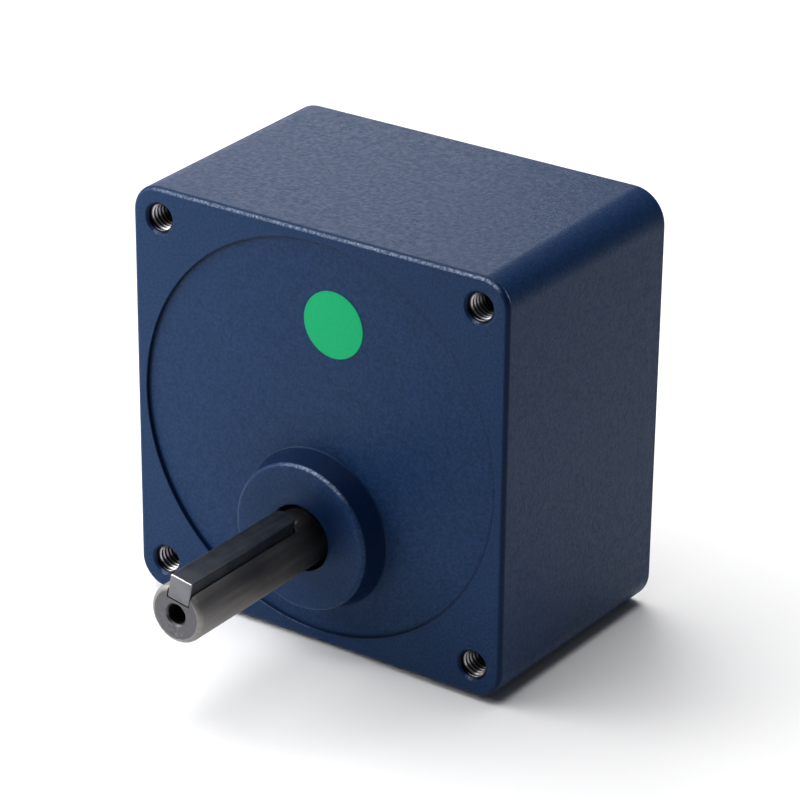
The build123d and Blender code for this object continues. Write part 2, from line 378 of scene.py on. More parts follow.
def navy_paint():
    """Satin navy paint over a casting: orange peel, fine grain, scuffed edges with painted
    highlights, and painted shade.
    """
    material, tree, shader, place = shader_of("navy_paint", (0.0078, 0.0265, 0.081), 0.42)
    shader.inputs["Specular IOR Level"].default_value = 0.146
    shader.inputs["Specular Tint"].default_value = (0.58, 0.83, 1.0, 1.0)
    dark_navy = (0.0044, 0.0196, 0.061)
    light_navy = (0.0112, 0.0315, 0.095)
    # Colour of the painted shade in corners, recesses and on the boss
    shade_navy = (0.0020, 0.0085, 0.036)
    chafed_and_highlit_blue = (0.21, 0.26, 0.38)
    bare_metal_glint = (0.50, 0.53, 0.62)
    grain = spread(tree, noise(tree, place, 1900.0, 4.0), 0.0, 1.0, 0.35, 0.65)
    paint = mixed(tree, grain, dark_navy, light_navy)
    speck = spread(tree, noise(tree, place, 1800.0, 3.0), 0.30, 1.0, 0.42, 0.60)
    edge = tree.nodes.new("ShaderNodeAttribute")
    edge.attribute_name = "worn_edge"
    # Scuffed paint and painted highlight where the tone is above zero, painted shade where it is
    # below zero
    rubbed_and_highlit = times(tree, spread(tree, edge.outputs["Fac"], 0.0, 1.0, 0.0, 1.0), speck)
    painted_shade = spread(tree, edge.outputs["Fac"], 1.0, 0.0, -1.0, 0.0)
    coat = mixed(tree, painted_shade, paint, shade_navy)
    # Bare metal specks in the scuffed paint, brightened as painted glints
    bare = spread(tree, noise(tree, place, 2600.0, 2.0), 0.0, 1.0, 0.55, 0.66)
    chafed_and_highlit = mixed(tree, bare, chafed_and_highlit_blue, bare_metal_glint)
    tree.links.new(mixed(tree, rubbed_and_highlit, coat, chafed_and_highlit), shader.inputs["Base Color"])
    tree.links.new(
        spread(tree, noise(tree, place, 900.0, 3.0), 0.36, 0.52), shader.inputs["Roughness"]
    )
    bumped(tree, shader, noise(tree, place, 1700.0, 3.0), 0.45, 0.12 * MM)
    bumped(tree, shader, noise(tree, place, 350.0, 2.0), 0.20, 0.10 * MM)
    return material


def machined_iron():
    """Bare faced casting, with the lathe's rings around the motor's axis."""
    material, tree, shader, place = shader_of("machined_iron", (0.42, 0.42, 0.43), 0.38, 1.0)
    rings = rings_about(tree, place, (0.0, 0.0), 480.0)
    grain = spread(tree, noise(tree, place, 900.0, 5.0), 0.0, 1.0)
    dull_iron = (0.375, 0.375, 0.38)
    clean_iron = (0.44, 0.44, 0.45)
    bright_grain = (0.47, 0.47, 0.48)
    patch = spread(tree, noise(tree, place, 130.0, 5.0), 0.0, 1.0, 0.25, 0.75)
    stain = mixed(tree, patch, dull_iron, clean_iron)
    tree.links.new(mixed(tree, grain, stain, bright_grain), shader.inputs["Base Color"])
    tree.links.new(spread(tree, rings, 0.31, 0.43, 0.0, 1.0), shader.inputs["Roughness"])
    bumped(tree, shader, rings, 0.22, 0.03 * MM)
    return material


def cut_thread():
    """Cut metal of the tapped holes: painted highlight on the crests near both ends, and painted
    shade in the grooves and deeper in.
    """
    material, tree, shader, place = shader_of("cut_thread", (0.62, 0.61, 0.63), 0.28, 1.0)
    axes = tree.nodes.new("ShaderNodeSeparateXYZ")
    tree.links.new(place, axes.inputs["Vector"])
    middle = tree.nodes.new("ShaderNodeMath")
    middle.operation = "SUBTRACT"
    middle.inputs[1].default_value = case_back / 2
    tree.links.new(axes.outputs["Y"], middle.inputs[0])
    away = tree.nodes.new("ShaderNodeMath")
    away.operation = "ABSOLUTE"
    tree.links.new(middle.outputs[0], away.inputs[0])
    # Painted shade deeper in the holes and in the grooves, painted highlight on the crests near
    # both ends
    shade_depth, lit_depth = 6.0 * MM, 1.5 * MM
    lightness = spread(
        tree, away.outputs[0], 0.0, 1.0, case_back / 2 - shade_depth, case_back / 2 - lit_depth
    )
    crest = tree.nodes.new("ShaderNodeAttribute")
    crest.attribute_name = "worn_edge"
    bright = times(tree, lightness, spread(tree, crest.outputs["Fac"], 0.0, 1.0, 0.35, 0.95))
    shaded_groove = (0.008, 0.008, 0.010)
    highlit_crest = (0.55, 0.54, 0.57)
    tree.links.new(mixed(tree, bright, shaded_groove, highlit_crest), shader.inputs["Base Color"])
    return material


def shaft_steel(name, dark, light, roughness):
    """Turned steel: turning marks, brownish patches and rub marks, with painted shade towards the
    case and darker away from the free end.
    """
    material, tree, shader, place = shader_of(name, dark, roughness, 1.0)
    patch = spread(tree, noise(tree, place, 150.0, 3.0, (1.0, 0.35, 1.0)), 0.0, 1.0, 0.35, 0.68)
    rub = spread(tree, noise(tree, place, 1100.0, 3.0, (1.0, 0.04, 1.0)), 0.0, 1.0, 0.40, 0.70)
    colour = mixed(tree, times(tree, patch, rub), dark, light)
    axes = tree.nodes.new("ShaderNodeSeparateXYZ")
    tree.links.new(place, axes.inputs["Vector"])
    # Painted shade and reflection towards the boss, which shades the shaft and is mirrored darkly
    # in it, and darker away from the free end
    boss_shade_from = boss_face - 12.5 * MM
    end_fade_from, end_fade_to = shaft_end + 1.5 * MM, shaft_end + 19.0 * MM
    boss_shade = spread(tree, axes.outputs["Y"], 1.0, 0.06, boss_shade_from, boss_face)
    end_fade = spread(tree, axes.outputs["Y"], 1.0, 0.47, end_fade_from, end_fade_to)
    lightness = times(tree, boss_shade, end_fade)
    darkened_steel = (0.008, 0.009, 0.012)
    tree.links.new(mixed(tree, lightness, darkened_steel, colour), shader.inputs["Base Color"])
    gloss = spread(tree, patch, roughness - 0.06, roughness + 0.10, 0.0, 1.0)
    tree.links.new(gloss, shader.inputs["Roughness"])
    turning = noise(tree, place, 500.0, 2.0, (0.15, 12.0, 0.15))
    bumped(tree, shader, turning, 0.10, 0.03 * MM)
    return material


def plain_metal(name, dark, light, roughness, grain_scale=1200.0):
    """Metal with a fine grain and soft patches."""
    material, tree, shader, place = shader_of(name, dark, roughness, 1.0)
    patch = spread(tree, noise(tree, place, 220.0, 4.0), 0.0, 1.0)
    tree.links.new(mixed(tree, patch, dark, light), shader.inputs["Base Color"])
    gloss = spread(tree, patch, roughness - 0.05, roughness + 0.08, 0.0, 1.0)
    tree.links.new(gloss, shader.inputs["Roughness"])
    bumped(tree, shader, noise(tree, place, grain_scale, 3.0), 0.15, 0.04 * MM)
    return material


def black_oxide():
    """Blue-black oxide of the key, with long faint draw marks."""
    material, tree, shader, place = shader_of("black_oxide", (0.035, 0.040, 0.050), 0.40, 0.85)
    drawn = noise(tree, place, 1500.0, 3.0, (1.0, 0.04, 1.0))
    cloud = spread(tree, noise(tree, place, 300.0, 4.0), 0.0, 1.0)
    tree.links.new(
        mixed(tree, cloud, (0.028, 0.033, 0.043), (0.050, 0.055, 0.066)),
        shader.inputs["Base Color"],
    )
    tree.links.new(spread(tree, drawn, 0.34, 0.50), shader.inputs["Roughness"])
    bumped(tree, shader, drawn, 0.15, 0.03 * MM)
    return material


def seal_rubber():
    """Black nitrile rubber with a faint bloom."""
    material, tree, shader, place = shader_of("seal_rubber", (0.010, 0.010, 0.011), 0.62)
    bloom = spread(tree, noise(tree, place, 400.0, 4.0), 0.0, 1.0)
    tree.links.new(
        mixed(tree, bloom, (0.008, 0.008, 0.009), (0.020, 0.020, 0.021)),
        shader.inputs["Base Color"],
    )
    bumped(tree, shader, noise(tree, place, 2200.0, 2.0), 0.2, 0.03 * MM)
    return material


def green_paper():
    """Green coated paper with a fine fibre grain."""
    material, tree, shader, place = shader_of("green_paper", (0.001, 0.36, 0.133), 0.48)
    shader.inputs["Specular IOR Level"].default_value = 0.12
    fibre = spread(tree, noise(tree, place, 1800.0, 4.0), 0.0, 1.0)
    tree.links.new(
        mixed(tree, fibre, (0.001, 0.34, 0.128), (0.001, 0.38, 0.142)),
        shader.inputs["Base Color"],
    )
    bumped(tree, shader, noise(tree, place, 1300.0, 2.0), 0.12, 0.03 * MM)
    return material


paint = navy_paint()
iron = machined_iron()
thread_metal = cut_thread()
turned_steel = shaft_steel("turned_steel", (0.232, 0.223, 0.218), (0.39, 0.362, 0.33), 0.56)
faced_steel = shaft_steel("faced_steel", (0.096, 0.094, 0.103), (0.165, 0.160, 0.174), 0.42)
oxide = black_oxide()
cut_steel = plain_metal("cut_steel", (0.117, 0.117, 0.131), (0.18, 0.18, 0.20), 0.34)
# Light steel for the key's top front edges, a painted highlight
edge_steel = plain_metal("edge_steel", (0.50, 0.50, 0.52), (0.66, 0.66, 0.68), 0.30)
gear_steel = plain_metal("gear_steel", (0.30, 0.30, 0.31), (0.42, 0.42, 0.43), 0.30)
bearing_steel = plain_metal("bearing_steel", (0.58, 0.58, 0.60), (0.68, 0.68, 0.70), 0.16)
bronze = plain_metal("sintered_bronze", (0.36, 0.24, 0.12), (0.46, 0.32, 0.17), 0.42, 2600.0)
screw_black = plain_metal("screw_black", (0.050, 0.050, 0.055), (0.090, 0.090, 0.095), 0.40)
# Nearly black metal for the shaft's centre hole, painted shade in the bore
oiled_bore = plain_metal("oiled_bore", (0.010, 0.010, 0.011), (0.018, 0.018, 0.020), 0.45)
rubber = seal_rubber()
paper = green_paper()

# Painted case with its machined rear and inside

PAINT, IRON = 0, 1


def cavity_outline(depth):
    """Wall of the gear room, which bulges inwards over the screw columns."""
    places = []
    for number in range(recess_sides):
        angle = 2 * math.pi * number / recess_sides
        reach = cavity_radius
        for bearing in screw_bearings:
            away = column_circle * math.sin(angle - math.radians(bearing))
            ahead = column_circle * math.cos(angle - math.radians(bearing))
            if ahead > 0 and abs(away) < column_radius:
                reach = min(reach, ahead - math.sqrt(column_radius**2 - away**2))
        places.append(Vector((reach * math.cos(angle), depth, reach * math.sin(angle))))
    return places


def edge_tone(number, place):
    """Tone of the front edge: scuffed paint with a painted highlight along the top under a line of
    painted shade, and painted shade down the right side.
    """
    # Scuffed paint with a painted highlight towards the front, below a line of painted shade
    worn_and_lit = (-0.8, -1.0, -0.5, 0.5, 1.0, 1.0, 0.7, 0.0)[number]
    # Painted shade down the right edge
    painted_shade = (-0.6, -0.9, -1.0, -1.0, -1.0, -0.9, -0.6, 0.0)[number]
    side_start, top_span, right_span = 0.93, 0.045, 0.05
    left_gap, left_span = 4.5 * MM, 3.0 * MM
    top = clamped((place.z / front_half - side_start) / top_span)
    start = clamped((place.x + front_half - left_gap) / left_span)
    right = clamped((place.x / front_half - side_start) / right_span)
    return worn_and_lit * top * start + painted_shade * right * (1.0 - top)


def chip_tone(place):
    """Tone of the small light chip just behind the front edge, on the upper right corner."""
    corner = front_half - front_corner
    chip_angle, chip_spread = 30.0, 22.0
    if min(place.x, place.z) < corner:
        return 0.0
    angle = math.degrees(math.atan2(place.z - corner, place.x - corner))
    return clamped(1.0 - abs(angle - chip_angle) / chip_spread)


def recess_tone(number, place):
    """Tone of the recess: painted shade in its wall, and a scuffed rim with a painted highlight at
    the lower left.
    """
    # Scuffed rim with a painted highlight at the lower left
    worn_and_lit = (0.0, 0.2, 0.7, 1.0, 0.7, 0.0, 0.0, 0.0, 0.0, 0.0)[number]
    # Painted shade in the recess's wall
    painted_shade = (0.0, -0.8, -1.0, -1.0, -1.0, -1.0, -1.0, -1.0, -0.9, 0.0)[number]
    low_start, low_span = 0.84, 0.06
    left_end, left_span = 8.0 * MM, 10.0 * MM
    low = clamped((-place.z / recess_radius - low_start) / low_span)
    low *= clamped((left_end - place.x) / left_span)
    return worn_and_lit * low + painted_shade * (1.0 - 0.5 * low)


def mouth_tone(number, place, centre):
    """Tone of a hole's mouth: painted shade towards the wall, and a painted highlight at the
    bottom.
    """
    spot_angle, spot_spread = -104.0, 36.0
    angle = math.degrees(math.atan2(place.z - centre[1], place.x - centre[0]))
    spot = clamped(1.0 - abs(angle - spot_angle) / spot_spread)
    # Painted shade towards the wall, lifted by a painted highlight at the bottom
    return (0.0, -0.4 + 0.8 * spot, -0.8 + 1.7 * spot, -1.0 + 0.6 * spot)[number]


def boss_tone(number, place):
    """Tone of the boss: its rim is scuffed paint with a painted highlight at the top, and its foot
    and side carry painted shade, deepest on the right.
    """
    # Painted shade on the foot and the side, scuffed paint with a painted highlight along the
    # rim's top
    foot = (0.0, -0.5, -0.7, -0.8, -0.8, -0.8)
    rim = (0.1, 0.5, 1.0, 1.0, 0.9, 0.5, 0.1, 0.0, 0.0)
    top_angle, top_spread, right_angle = 77.0, 36.0, -15.0
    angle = math.degrees(math.atan2(place.z - output_z, place.x))
    if number < len(foot):
        return foot[number]
    if number == len(foot):
        right = 0.5 + 0.5 * math.cos(math.radians(angle - right_angle))
        return -0.8 - 0.2 * right
    top = max(0.05, 1.0 - ((angle - top_angle) / top_spread) ** 2)
    return rim[number - len(foot) - 1] * top


def face_tone(number, place):
    """Tone of the boss's face: painted shade around the opening, deepest at the upper right, where
    the shaft shades it.
    """
    # Painted shade, deepest where the shaft shades the face
    tones = ((0.12, 0.35), (0.20, 0.72), (0.22, 0.78), (0.2, 0.6), (0.1, 0.4))
    dark_angle, dark_spread = 42.0, 62.0
    angle = math.degrees(math.atan2(place.z - output_z, place.x))
    right = clamped(1.0 - abs(angle - dark_angle) / dark_spread)
    even, deep = tones[min(number, len(tones) - 1)]
    return -even - deep * right


def make_case():
    """The whole casting as one closed shell."""
    shell = Shell()
    # Outside, from the rear rim to the rounded front edge
    outside = [
        shell.ring(rounded_square(case_half - rear_edge, rear_corner - rear_edge, case_back)),
        shell.ring(rounded_square(case_half, rear_corner, case_back - rear_edge)),
    ]
    straight = []
    straight_length = case_back - rear_edge - front_edge
    for share in (0.02, 0.25, 0.5, 0.75, 0.995, 1.0):
        places = rounded_square(
            case_half - draft_offset * share,
            rear_corner + (front_corner - rear_corner) * share,
            case_back - rear_edge - straight_length * share,
        )
        tones = [chip_tone(place) if share == 1.0 else 0.0 for place in places]
        straight.append(shell.ring(places, tones))
    rounded = []
    front_profile = arc((front_edge, front_edge), front_edge, 180, 270, 8)[1:]
    for number, (inward, depth) in enumerate(front_profile):
        places = rounded_square(front_half - inward, front_corner - inward, depth)
        rounded.append(shell.ring(places, [edge_tone(number, place) for place in places]))
    rows = outside + straight + rounded
    for ring_a, ring_b in zip(rows, rows[1:]):
        shell.band(ring_a, ring_b, PAINT)
    rear_bevel_faces = len(rows[0])
    shell.finishes[:rear_bevel_faces] = [IRON] * rear_bevel_faces
    # Round recess
    recess = lathe(
        shell,
        [
            (recess_radius + recess_edge + 0.08 * MM, 0.0),
            *arc((recess_radius + recess_edge, recess_edge), recess_edge, 270, 180, 4),
            (recess_radius, recess_depth - recess_edge),
            (recess_radius - recess_edge * 0.3, recess_depth - recess_edge * 0.3),
            (recess_radius - recess_edge, recess_depth),
            (recess_radius - recess_edge - 0.34 * MM, recess_depth),
        ],
        (0.0, 0.0),
        PAINT,
        recess_sides,
        recess_tone,
    )
    # Boss, shaft opening, and the seats of the seal and the bearing
    rim_centre = (boss_radius - boss_rim, boss_face + boss_rim)
    foot_radius = boss_radius + boss_flare
    boss = lathe(
        shell,
        [
            *arc((foot_radius + boss_foot, recess_depth - boss_foot), boss_foot, 90, 170, 5),
            *arc(rim_centre, boss_rim, 10, -90, 9),
        ],
        (0.0, output_z),
        PAINT,
        boss_sides,
        boss_tone,
    )
    opening_centre = (opening_radius + opening_edge, boss_face + opening_edge)
    face_radii = (13.4 * MM, 10.6 * MM, 8.4 * MM)
    lip = lathe(
        shell,
        [
            *((radius, boss_face) for radius in face_radii),
            *arc(opening_centre, opening_edge, 270, 180, 4),
            (opening_radius, seal_front),
        ],
        (0.0, output_z),
        PAINT,
        boss_sides,
        face_tone,
    )
    seats = lathe(
        shell,
        [
            (opening_radius, seal_front),
            (seal_radius, seal_front),
            (seal_radius, bearing_front),
            (bearing_radius, bearing_front),
            (bearing_radius, seat_face),
        ],
        (0.0, output_z),
        IRON,
        boss_sides,
    )
    shell.band(boss[-1], lip[0], PAINT)
    shell.fill(recess[-1], [boss[0]], PAINT)
    # Corner holes, painted in the mouth and bare metal inside
    front_mouths = []
    rear_mouths = []
    for place in hole_places:
        mouth = lathe(
            shell,
            [
                (hole_radius + hole_mouth + 0.06 * MM, 0.0),
                (hole_radius + hole_mouth - 0.04 * MM, 0.05 * MM),
                (hole_radius + 0.02 * MM, hole_mouth),
                (hole_radius, hole_mouth * 1.1),
            ],
            place,
            PAINT,
            hole_sides,
            lambda number, point, centre=place: mouth_tone(number, point, centre),
        )
        wall = lathe(
            shell,
            [
                (hole_radius, hole_mouth * 1.1),
                (hole_radius, case_back - hole_mouth),
                (hole_radius + hole_mouth, case_back),
            ],
            place,
            IRON,
            hole_sides,
        )
        front_mouths.append(mouth[0])
        rear_mouths.append(wall[-1])
    shell.fill(rows[-1], [recess[0], *front_mouths], PAINT)
    # Rear rim, register, plate seat and gear room
    register = lathe(
        shell,
        [
            (register_radius + rear_edge, case_back),
            (register_radius, case_back - rear_edge),
            (register_radius, plate_front),
        ],
        (0.0, 0.0),
        IRON,
        recess_sides,
    )
    shell.fill(rows[0], [register[0], *rear_mouths], IRON)
    cavity_rear = shell.ring(cavity_outline(plate_front))
    cavity_front = shell.ring(cavity_outline(seat_face))
    shell.band(cavity_rear, cavity_front, IRON)
    shell.fill(register[-1], [cavity_rear], IRON)
    bush_rings = []
    bush_radius = (bush_high.x - bush_low.x) / 2
    bush_seat = [(bush_radius, seat_face), (bush_radius, bush_low.y)]
    for body in ("first_countershaft", "second_countershaft"):
        place = (joint_places[body][0], joint_places[body][2])
        seat = lathe(shell, bush_seat, place, IRON, bush_sides)
        shell.fill(seat[-1], [], IRON)
        bush_rings.append(seat[0])
    shell.fill(cavity_front, [seats[-1], *bush_rings], IRON)
    return shell.build("painted_case", [paint, iron], 38)


case = make_case()
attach(case, "housing")
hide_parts("gear_case")


# Repeated small forms, by Geometry Nodes


def copies_tree(name, form, material):
    """Tree that sets one form on every point of a mesh, as real geometry."""
    tree = bpy.data.node_groups.new(name, "GeometryNodeTree")
    tree.interface.new_socket("Geometry", in_out="INPUT", socket_type="NodeSocketGeometry")
    size = tree.interface.new_socket("Form size", in_out="INPUT", socket_type="NodeSocketFloat")
    size.default_value = 1.0
    tree.interface.new_socket("Geometry", in_out="OUTPUT", socket_type="NodeSocketGeometry")
    source = tree.nodes.new("NodeGroupInput")
    info = tree.nodes.new("GeometryNodeObjectInfo")
    info.inputs["Object"].default_value = form
    points = tree.nodes.new("GeometryNodeInstanceOnPoints")
    real = tree.nodes.new("GeometryNodeRealizeInstances")
    coat = tree.nodes.new("GeometryNodeSetMaterial")
    coat.inputs["Material"].default_value = material
    target = tree.nodes.new("NodeGroupOutput")
    tree.links.new(source.outputs["Geometry"], points.inputs["Points"])
    tree.links.new(source.outputs["Form size"], points.inputs["Scale"])
    tree.links.new(info.outputs["Geometry"], points.inputs["Instance"])
    tree.links.new(points.outputs["Instances"], real.inputs["Geometry"])
    tree.links.new(real.outputs["Geometry"], coat.inputs["Geometry"])
    tree.links.new(coat.outputs["Geometry"], target.inputs["Geometry"])
    return tree, size.identifier


def set_copies(name, form, places, material, size=1.0):
    """Copies of a form at every place, as one plain mesh. The form itself is removed."""
    mesh = bpy.data.meshes.new(name)
    mesh.from_pydata([Vector(place) for place in places], [], [])
    piece = bpy.data.objects.new(name, mesh)
    bpy.context.scene.collection.objects.link(piece)
    tree, size_socket = copies_tree(name + "_copies", form, material)
    modifier = piece.modifiers.new("copies", "NODES")
    modifier.node_group = tree
    modifier[size_socket] = size
    applied(piece)
    bpy.data.objects.remove(form)
    return piece


def thread_form(name, radius, length, count):
    """Inside thread as a thin closed sleeve. Its rows follow the helix, with flat crests."""
    shell = Shell()
    wall = 0.04 * MM
    gap = 0.005 * MM
    run_out = 0.6 * thread_pitch
    profile = ((0.0, 0.0), (0.12, 0.0), (0.48, 1.0), (0.64, 1.0))
    turns = int(length / thread_pitch) + 1
    rows = [
        (turn + share, crest) for turn in range(-1, turns) for share, crest in profile
    ] + [(turns, 0.0)]
    rings = []
    for start, crest in rows:
        places = []
        tones = []
        for number in range(count):
            turned = number / count
            depth = max(0.0, min(length, (start + turned) * thread_pitch))
            fade = min(1.0, depth / run_out, (length - depth) / run_out)
            reach = radius - gap - thread_height * crest * fade
            angle = 2 * math.pi * turned
            places.append(Vector((reach * math.cos(angle), depth, reach * math.sin(angle))))
            # The crest tone sets the painted highlight on the crests in the thread's material
            tones.append(crest * fade)
        rings.append(shell.ring(places, tones))
    for row in range(len(rings) - 1):
        ring_a, ring_b = rings[row], rings[row + 1]
        for i in range(count - 1):
            shell.faces.append((ring_a[i], ring_a[i + 1], ring_b[i + 1], ring_b[i]))
        next_a = rings[min(row + len(profile), len(rings) - 1)][0]
        next_b = rings[min(row + 1 + len(profile), len(rings) - 1)][0]
        shell.faces.append((ring_a[-1], next_a, next_b, ring_b[-1]))
        shell.finishes.extend([0] * count)
    front = shell.ring(circle(radius + wall, 0.0, count))
    back = shell.ring(circle(radius + wall, length, count))
    shell.band(front, rings[0])
    shell.band(rings[-1], back)
    shell.band(back, front)
    return shell.build(name, [thread_metal], 30)


thread_start = hole_mouth * 1.05
corner_threads = set_copies(
    "corner_threads",
    thread_form("thread_form", hole_radius, thread_length, hole_sides),
    [
        (x, depth, z)
        for x, z in hole_places
        for depth in (thread_start, case_back - thread_start - thread_length)
    ],
    thread_metal,
)
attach(corner_threads, "housing")


def screw_form():
    """Cap screw with a chamfered head and a hexagon socket, its head's face at depth zero."""
    shell = Shell()
    head_radius, head_height, shank_radius, length = 3.5 * MM, 2.8 * MM, 2.0 * MM, 14.0 * MM
    edge, socket_radius, socket_depth = 0.3 * MM, 1.55 * MM, 1.6 * MM
    rings = lathe(
        shell,
        [
            (head_radius - edge, 0.0),
            (head_radius, -edge),
            (head_radius, -head_height),
            (shank_radius, -head_height),
            (shank_radius, -length + edge),
            (shank_radius - edge, -length),
        ],
        (0.0, 0.0),
        0,
        screw_sides,
    )
    mouth = shell.ring(circle(socket_radius, 0.0, 6))
    floor = shell.ring(circle(socket_radius, -socket_depth, 6))
    shell.fill(rings[0], [mouth])
    shell.band(mouth, floor)
    shell.fill(floor)
    shell.fill(rings[-1])
    return shell.build("screw_form", [screw_black], 35)


cap_screws = set_copies(
    "cap_screws",
    screw_form(),
    [
        (
            column_circle * math.cos(math.radians(bearing)),
            plate_back,
            column_circle * math.sin(math.radians(bearing)),
        )
        for bearing in screw_bearings
    ],
    screw_black,
)
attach(cap_screws, "housing")
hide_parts("plate_screws")


def ball_form(radius):
    """Bearing ball."""
    mesh = bpy.data.meshes.new("ball_form")
    made = bmesh.new()
    bmesh.ops.create_icosphere(made, subdivisions=3, radius=radius)
    made.to_mesh(mesh)
    made.free()
    return finish_mesh(mesh, [bearing_steel])


outer_track = bearing_radius - race_thickness
ball_circle = (inner_ring_radius + outer_track) / 2
ball_radius = (outer_track - inner_ring_radius) / 2
bearing_balls = set_copies(
    "bearing_balls",
    ball_form(ball_radius),
    [
        (
            ball_circle * math.cos(2 * math.pi * number / ball_count),
            (bearing_front + seat_face) / 2,
            output_z + ball_circle * math.sin(2 * math.pi * number / ball_count),
        )
        for number in range(ball_count)
    ],
    bearing_steel,
)
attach(bearing_balls, "output")

# Output shaft and its key


def tilt(places):
    """Places turned with the shaft about its axis. They are given from the axis, key upwards."""
    turn = Matrix.Rotation(shaft_turn, 4, "Y")
    shift = Vector((0.0, 0.0, output_z))
    return [turn @ place + shift for place in places]


def slot_outline(half_width, front, back, height, steps=16):
    """Plan of a keyway, square at the front and round at the back."""
    places = [Vector((-half_width, front, height)), Vector((half_width, front, height))]
    for step in range(steps + 1):
        angle = math.pi * step / steps
        places.append(
            Vector(
                (
                    half_width * math.cos(angle),
                    back - half_width + half_width * math.sin(angle),
                    height,
                )
            )
        )
    return places


def prism(name, low_places, high_places, materials, end_finish=0, sharp_degrees=30):
    """Solid between two equal outlines, made as one closed mesh."""
    mesh = bpy.data.meshes.new(name)
    count = len(low_places)
    faces = [tuple(range(count)), tuple(range(2 * count - 1, count - 1, -1))]
    for i in range(count):
        j = (i + 1) % count
        faces.append((i, j, count + j, count + i))
    mesh.from_pydata([*low_places, *high_places], [], faces)
    mesh.polygons[2].material_index = end_finish
    return finish_mesh(mesh, materials, sharp_degrees)


TURNED, FACED, BORE = 0, 1, 2


def make_shaft():
    """Turned shaft with a centre hole, cut by its keyway."""
    shell = Shell()
    end = shaft_end
    rounding = [
        (shaft_radius - shaft_chamfer * inward, end + shaft_chamfer * along)
        for inward, along in ((1.25, 0.0), (0.85, 0.12), (0.30, 0.55), (0.08, 0.95))
    ]
    plain_start = end + shaft_chamfer * 1.5
    plain_length = seal_front - end - 1.2 * MM
    plain_steps = 18
    hole_tip = 0.02 * MM
    rings = lathe(
        shell,
        [
            (hole_tip, end + centre_hole_depth),
            (centre_hole_radius, end + centre_hole_depth - centre_hole_cone),
            (centre_hole_radius, end + centre_hole_mouth),
            (centre_hole_radius + centre_hole_mouth, end),
            rounding[0],
        ],
        (0.0, output_z),
        FACED,
        shaft_sides,
    )
    bore_faces = 2 * shaft_sides
    shell.finishes[:bore_faces] = [BORE] * bore_faces
    shell.fill(rings[0], [], BORE)
    body = lathe(
        shell,
        [
            *rounding,
            *(
                (shaft_radius, plain_start + plain_length * step / plain_steps)
                for step in range(plain_steps + 1)
            ),
            (shaft_seat_radius, seal_front),
            (shaft_seat_radius, seat_face),
            (collar_radius, seat_face),
            (collar_radius, seat_face + collar_width),
            (shaft_seat_radius, seat_face + collar_width),
            (shaft_seat_radius, shaft_back - journal_length),
            (journal_radius, shaft_back - journal_length),
            (journal_radius, shaft_back),
        ],
        (0.0, output_z),
        TURNED,
        shaft_sides,
    )
    shell.fill(body[-1], [], FACED)
    shaft = shell.build("turned_shaft", [turned_steel, faced_steel, oiled_bore], 30)
    foot = shaft_radius - keyway_depth - keyway_gap
    half = key_width / 2 + keyway_gap
    cutter = prism(
        "keyway_form",
        tilt(slot_outline(half, shaft_end - MM, key_back + keyway_gap, foot)),
        tilt(slot_outline(half, shaft_end - MM, key_back + keyway_gap, foot + key_height)),
        [turned_steel],
    )
    cut = shaft.modifiers.new("keyway", "BOOLEAN")
    cut.operation = "DIFFERENCE"
    cut.object = cutter
    cut.solver = "EXACT"
    applied(shaft)
    bpy.data.objects.remove(cutter)
    shaft.data.polygons.foreach_set("use_smooth", [True] * len(shaft.data.polygons))
    shaft.data.set_sharp_from_angle(angle=math.radians(30))
    return shaft


shaft = make_shaft()
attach(shaft, "output")
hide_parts("output_shaft")


CUT, HIGHLIT_EDGE = 1, 2


def make_key():
    """Parallel key with broken edges, black all over but for its bare cut front end, whose top
    edges are light steel as a painted highlight.
    """
    foot = shaft_radius - keyway_depth
    half = key_width / 2
    low = tilt(slot_outline(half, shaft_end, key_back, foot))
    high = tilt(slot_outline(half, shaft_end, key_back, foot + key_height))
    key = prism("parallel_key", low, high, [oxide, cut_steel, edge_steel], CUT)
    bevel = key.modifiers.new("broken_edges", "BEVEL")
    bevel.width = 0.22 * MM
    bevel.segments = 3
    bevel.limit_method = "ANGLE"
    bevel.angle_limit = math.radians(40)
    applied(key)
    level = Matrix.Rotation(-shaft_turn, 4, "Y")
    axis = Vector((0.0, 0.0, output_z))
    end_zone, flat_zone, top_zone = 0.2 * MM, 0.01 * MM, 0.4 * MM
    # Top bevel faces at the front end take the painted highlight
    for face in key.data.polygons:
        if face.center.y < shaft_end + end_zone:
            height = (level @ (face.center - axis)).z
            behind_end = face.center.y > shaft_end + flat_zone
            near_top = height > foot + key_height - top_zone
            face.material_index = HIGHLIT_EDGE if behind_end and near_top else CUT
    return key


key = make_key()
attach(key, "output")
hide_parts("shaft_key")

# Inspection sticker, a bare green disc


def make_sticker():
    """Thin paper disc with a cut edge, lying in the recess."""
    shell = Shell()
    centre = (
        (sticker_low.x + sticker_high.x) / 2,
        (sticker_low.z + sticker_high.z) / 2,
    )
    radius = (sticker_high.x - sticker_low.x) / 2
    front, back = sticker_low.y, sticker_high.y
    edge = 0.05 * MM
    rings = lathe(
        shell,
        [
            (radius, back),
            (radius, front + edge),
            (radius - edge, front),
            (radius * 0.5, front),
            (radius * 0.1, front),
        ],
        centre,
        0,
        sticker_sides,
    )
    shell.fill(rings[-1])
    shell.fill(rings[0])
    return shell.build("green_sticker", [paper], 50)


sticker = make_sticker()
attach(sticker, "housing")
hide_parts("inspection_sticker")

# Finishes of the pieces that keep their solid's shape

